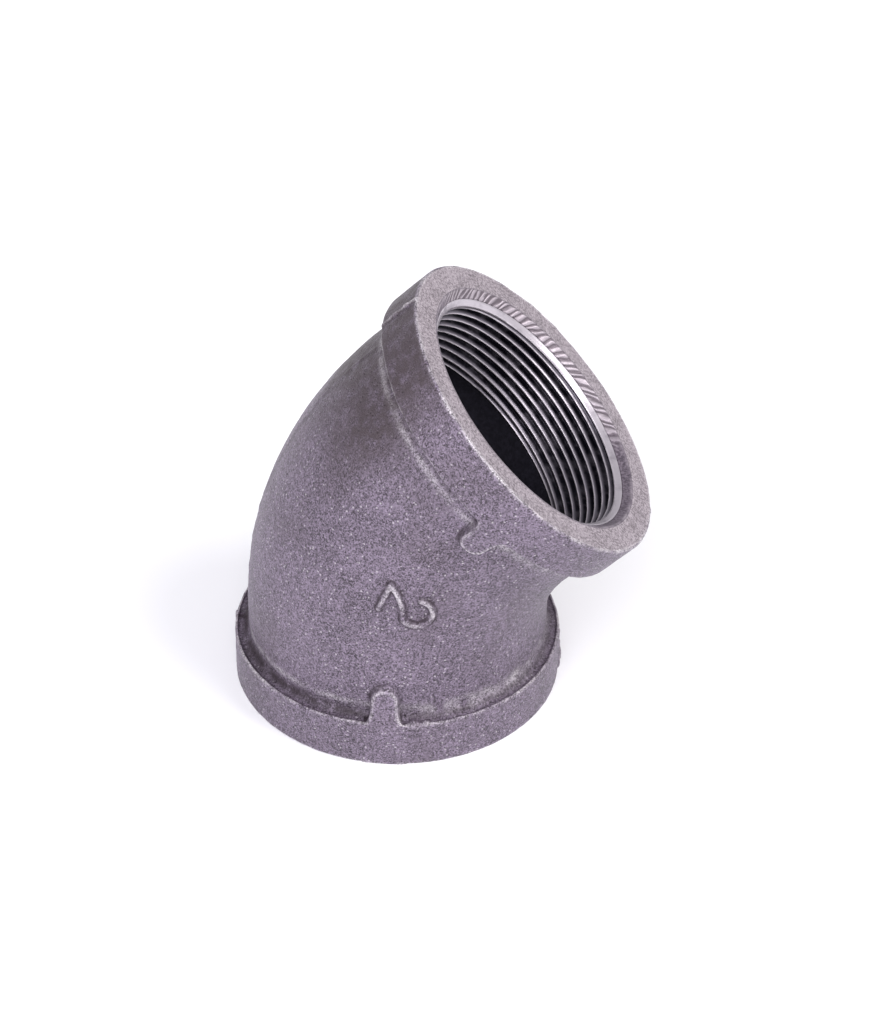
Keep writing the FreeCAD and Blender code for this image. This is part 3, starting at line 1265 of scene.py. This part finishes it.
        # The painted shade in the roots is deeper on the bend's outer side, away from the key light.
        outer_share = 0.7 + 0.3 * smooth_step(0.3, -0.3, facing)
        shade_total = outer_share * root * (1 - cover) + 0.95 * lug_foot + 0.95 * numeral_foot
        return np.clip(shade_total + 0.6 * beside_ridge, 0.0, 1.0)

    def rust_and_painted_shade(self, rows: Rows, turn: np.ndarray, points: np.ndarray) -> np.ndarray:
        """Brown tint: rust in patches and low on the inner side, and partly rust, partly painted shade
        outside the bend up to the upper band.

        Args:
            rows: The rows' readings.
            turn: Angle of every point.
            points: Points of the plain shell.

        Returns:
            Array of turn's shape, from 0 to 1.
        """
        along = rows["along"][:, None]
        low = bell(along, 12.6, 2.4) * smooth_step(-0.2, 0.7, np.cos(turn + 0.5))
        patch = smooth_step(0.1, 0.8, self.patchy_rust.over(points))
        above = self.outer.length - along
        # Partly rust, partly painted shade: the bend's outer side below the upper band, which faces away
        # from the key light.
        lee_shade_and_rust = smooth_step(34.0, 19.0, above) * smooth_step(0.5, 0.9, -np.cos(turn)) * (above > 0.4)
        return np.clip(0.15 * low + 0.25 * patch + 0.95 * lee_shade_and_rust, 0.0, 1.0)

    def face_depth(self, rows: Rows) -> np.ndarray:
        """Depth of each row from its nearer end face."""
        length = np.where(rows["core"], self.core.length, self.outer.length)
        return np.minimum(rows["along"], length - rows["along"])

    def build(self, finishes: list[bpy.types.Material]) -> bpy.types.Object:
        """Make the piece and give it to its CAD nodes.

        Args:
            finishes: Finishes in the order of Region.

        Returns:
            The casting.
        """
        piece = self.shape().make(finishes)
        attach(piece, "root")
        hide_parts(*self.NODES)
        return piece


# --------------------------------------------------------------------------
# The tapped threads
# --------------------------------------------------------------------------


@dataclass
class ThreadedWall:
    """Tapped wall of one port: lead-in cone, tapered thread and run-out."""

    end: End
    port_to_centre: float = 42.7
    bend: float = math.pi / 4
    back_radius: float = 31.25
    lead_in_radius: float = 29.4
    lead_in_start: float = 1.6
    first_turn: float = 2.75
    crest_radius: float = 28.3
    last_turn: float = 20.8
    run_out_radius: float = 30.05
    thread_end: float = 21.38
    pitch: float = 25.4 / 11.5
    groove_depth: float = 1.62
    taper: float = 1.0 / 32.0
    start_turn: float = 270.0
    fade: float = 0.9
    drum_radius: float = 30.0
    noise_radius: float = 28.0
    torn: SkinNoise = SkinNoise(71, 1.3, 2, 0.045)
    lead_in_tone: float = 0.075
    columns: int = 400

    # Share of the pitch and share of the groove's depth at each point of its section.
    SECTION = (
        (0.0, 0.0), (0.045, 0.03), (0.17, 0.30), (0.33, 0.66), (0.45, 0.93), (0.5, 1.0),
        (0.55, 0.93), (0.67, 0.66), (0.83, 0.30), (0.955, 0.03),
    )

    def section(self) -> tuple[np.ndarray, np.ndarray]:
        """Depth in turns and share of groove depth for every row of the helix."""
        turns = math.ceil((self.last_turn - self.first_turn) / self.pitch) + 2
        shares = np.array(self.SECTION)
        rows = np.arange(turns)[:, None] + shares[None, :, 0]
        deep = np.repeat(shares[None, :, 1], turns, axis=0)
        return rows.reshape(-1) - 1.0, deep.reshape(-1)

    def shape(self) -> Mesher:
        """Work out the wall's points, faces and surface readings."""
        row_turns, row_deep = self.section()
        share = np.arange(self.columns) / self.columns
        turn = math.radians(self.start_turn) + 2 * math.pi * share
        depth = self.first_turn + self.pitch * (row_turns[:, None] + share[None, :])
        depth = np.clip(depth, self.first_turn, self.last_turn)
        starting = smooth_step(0.0, self.fade, depth - self.first_turn)
        shown = starting * smooth_step(0.0, self.fade, self.last_turn - depth)
        groove = row_deep[:, None] * shown
        full = self.groove_depth - (depth - self.first_turn) * self.taper
        inside = (depth > self.first_turn) & (depth < self.last_turn)
        torn = self.torn.over(self.on_drum(self.noise_radius, turn, depth)) * inside * shown
        radius = self.crest_radius + groove * full + torn
        back = [(self.back_radius, self.thread_end - 0.02), (self.back_radius, self.lead_in_start + 0.14)]
        cone_start = (self.lead_in_radius, self.lead_in_start)
        cone = np.linspace(cone_start, (self.crest_radius, self.first_turn), 5)[:-1]
        ahead = np.vstack([back, cone])
        behind = np.array([(self.run_out_radius, self.thread_end)])
        all_radius = np.vstack([self.level(ahead, 0), radius, self.level(behind, 0)])
        all_depth = np.vstack([self.level(ahead, 1), depth, self.level(behind, 1)])
        lead_in = np.full((len(ahead), self.columns), self.lead_in_tone)
        all_groove = np.vstack([lead_in, groove, np.zeros((len(behind), self.columns))])
        readings = {
            "groove": all_groove.reshape(-1).astype(np.float32),
            "drum": self.on_drum(self.drum_radius, turn, all_depth).reshape(-1, 3).astype(np.float32),
        }
        points = self.placed(self.on_drum(all_radius, turn, all_depth)).reshape(-1, 3)
        faces = self.faces(len(ahead), len(row_turns), len(behind))
        return Mesher(f"{self.end.value}_thread", points, faces, None, readings)

    def level(self, rows: np.ndarray, part: int) -> np.ndarray:
        """Radius (part 0) or depth (part 1) of plain rows, the same all the way round."""
        return np.repeat(rows[:, part, None], self.columns, axis=1)

    @staticmethod
    def on_drum(radius: np.ndarray | float, turn: np.ndarray, depth: np.ndarray) -> np.ndarray:
        """Points at a radius, an angle and a depth, in the port's own frame.

        Args:
            radius: Distance from the port's axis.
            turn: Angle of each column.
            depth: Depth from the end face, shape (rows, columns).

        Returns:
            Array of shape (rows, columns, 3).
        """
        spread = np.broadcast_arrays(radius * np.cos(turn), radius * np.sin(turn), depth)
        return np.stack(spread, -1)

    def faces(self, before: int, helix: int, after: int) -> list[list[int]]:
        """Quads of the wall, joined across the start of the helix one turn on.

        Args:
            before: Number of rows ahead of the helix.
            helix: Number of rows in the helix.
            after: Number of rows behind it.

        Returns:
            Corner numbers of each quad.
        """
        rows = before + helix + after
        columns = self.columns
        quads = ring_faces(rows, columns).reshape(rows, columns, 4)
        plain = quads[:, :-1].reshape(-1, 4)
        per_turn = len(self.SECTION)
        seam: list[list[int]] = []
        last = before + helix - 1
        for row in range(rows):
            following = (row + 1) % rows
            # A helix row meets the one a whole turn further on, up to the helix's last row.
            here_first, next_first = (
                min(each + per_turn, last) if before <= each <= last else each
                for each in (row, following)
            )
            seam.append(
                [
                    row * columns + columns - 1,
                    here_first * columns,
                    next_first * columns,
                    following * columns + columns - 1,
                ]
            )
        return plain.tolist() + [self.simple(quad) for quad in seam if len(set(quad)) > 2]

    @staticmethod
    def simple(quad: list[int]) -> list[int]:
        """A face without repeated corners."""
        return list(dict.fromkeys(quad))

    def placed(self, local: np.ndarray) -> np.ndarray:
        """Carry port-frame points to this end of the elbow.

        Args:
            local: Points with the end face at z = 0 and +z into the fitting.

        Returns:
            Points in the elbow's frame.
        """
        if self.end is End.LOWER:
            return local
        sine = math.sin(self.bend)
        cosine = math.cos(self.bend)
        centre = np.array([self.port_to_centre * sine, 0.0, self.port_to_centre * (1 + cosine)])
        axes = np.array([[-cosine, 0.0, sine], [0.0, 1.0, 0.0], [-sine, 0.0, -cosine]])
        return centre + local @ axes

    def build(self, finish: bpy.types.Material) -> bpy.types.Object:
        """Make the piece and give it to its CAD node.

        Args:
            finish: The thread's finish.

        Returns:
            The threaded wall.
        """
        piece = self.shape().make([finish], merge=True)
        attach(piece, "root")
        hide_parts(f"{self.end.value}_port")
        return piece


# --------------------------------------------------------------------------
# The studio
# --------------------------------------------------------------------------


class Glow(Enum):
    """Kinds of studio light."""

    BROAD = "SUN"
    PANEL = "AREA"


@dataclass(frozen=True)
class Lamp:
    """One soft light aimed at the elbow; size is a panel's side, or a broad light's spread."""

    name: str
    place: Place
    power: float
    size: float
    colour: Colour = (1.0, 1.0, 1.0)
    glow: Glow = Glow.PANEL


@dataclass
class Studio:
    """Floor, lights, surroundings and camera."""

    floor_reach: float = 4.0
    floor_cells: int = 8
    floor_drop: float = 0.02
    aim: Place = (0.0095, 0.0, 0.045)
    azimuth: float = 3.434
    elevation: float = 36.317
    roll: float = 0.889
    distance: float = 0.637459
    target: Place = (0.009513, -0.00635, 0.047694)
    lens: float = 100.93
    surroundings: float = 0.55
    sky: Colour = (0.97, 0.96, 1.0)
    lamps: tuple[Lamp, ...] = (
        Lamp("key_light", (0.75, -0.25, 0.8), 2.1, 0.6, (1.0, 0.985, 0.98), Glow.BROAD),
        Lamp("front_light", (-0.25, -0.75, 0.7), 11.0, 0.9, (0.96, 0.95, 1.0)),
    )

    def build_floor(self) -> bpy.types.Object:
        """Pale floor just under the elbow."""
        count = self.floor_cells + 1
        side = np.linspace(-self.floor_reach, self.floor_reach, count) / MM
        grid = np.stack(np.meshgrid(side, side, indexing="ij"), -1).reshape(-1, 2)
        points = np.column_stack([grid, np.full(len(grid), -self.floor_drop)])
        corners = [row * count + column for row in range(count - 1) for column in range(count - 1)]
        faces = [[first, first + count, first + count + 1, first + 1] for first in corners]
        floor = Mesher("pale_floor", points, faces).make([PaleFloor().make()])
        return floor

    def build_lamps(self) -> None:
        """Hang the lights."""
        for lamp in self.lamps:
            data = bpy.data.lights.new(lamp.name, lamp.glow.value)
            if lamp.glow is Glow.BROAD:
                data.angle = lamp.size
            else:
                data.shape = "SQUARE"
                data.size = lamp.size
            data.energy = lamp.power
            data.color = lamp.colour
            holder = bpy.data.objects.new(lamp.name, data)
            holder.location = lamp.place
            beam = Vector(self.aim) - Vector(lamp.place)
            holder.rotation_euler = beam.to_track_quat("-Z", "Y").to_euler()
            bpy.context.scene.collection.objects.link(holder)

    def build_world(self) -> None:
        """Even pale surroundings."""
        world = bpy.data.worlds.new("surroundings")
        world.use_nodes = True
        backdrop = world.node_tree.nodes["Background"]
        backdrop.inputs["Color"].default_value = (*self.sky, 1.0)
        backdrop.inputs["Strength"].default_value = self.surroundings
        bpy.context.scene.world = world
        bpy.context.scene.view_settings.view_transform = "Standard"

    def build_camera(self) -> bpy.types.Object:
        """Camera at the catalogue view."""
        data = bpy.data.cameras.new("camera")
        data.lens = self.lens
        data.sensor_width = 36.0
        data.clip_start = 0.01
        data.clip_end = 20.0
        turn = math.radians(self.azimuth)
        rise = math.radians(self.elevation)
        lean = math.radians(self.roll)
        back = Vector((math.sin(turn) * math.cos(rise), -math.cos(turn) * math.cos(rise), math.sin(rise)))
        right = Vector((math.cos(turn), math.sin(turn), 0.0))
        up = back.cross(right)
        side = right * math.cos(lean) + up * math.sin(lean)
        top = up * math.cos(lean) - right * math.sin(lean)
        camera = bpy.data.objects.new("camera", data)
        bpy.context.scene.collection.objects.link(camera)
        spot = Vector(self.target) + back * self.distance
        camera.matrix_world = Matrix.Translation(spot) @ Matrix((side, top, back)).transposed().to_4x4()
        bpy.context.scene.camera = camera
        return camera


def main() -> None:
    """Build the elbow and the studio, reporting each piece."""
    logging.basicConfig(level=logging.INFO, format="%(message)s")
    skin = [CastSkin().make(), FacedEnd().make(), RoughBevel().make(), CoredWall().make()]
    thread = CutThread().make()
    pieces = [Casting().build(skin)]
    pieces += [ThreadedWall(end).build(thread) for end in End]
    for piece in pieces:
        LOG.info("%s: %d faces", piece.name, len(piece.data.polygons))
    studio = Studio()
    studio.build_floor()
    studio.build_lamps()
    studio.build_world()
    studio.build_camera()


if __name__ == "__main__":
    main()
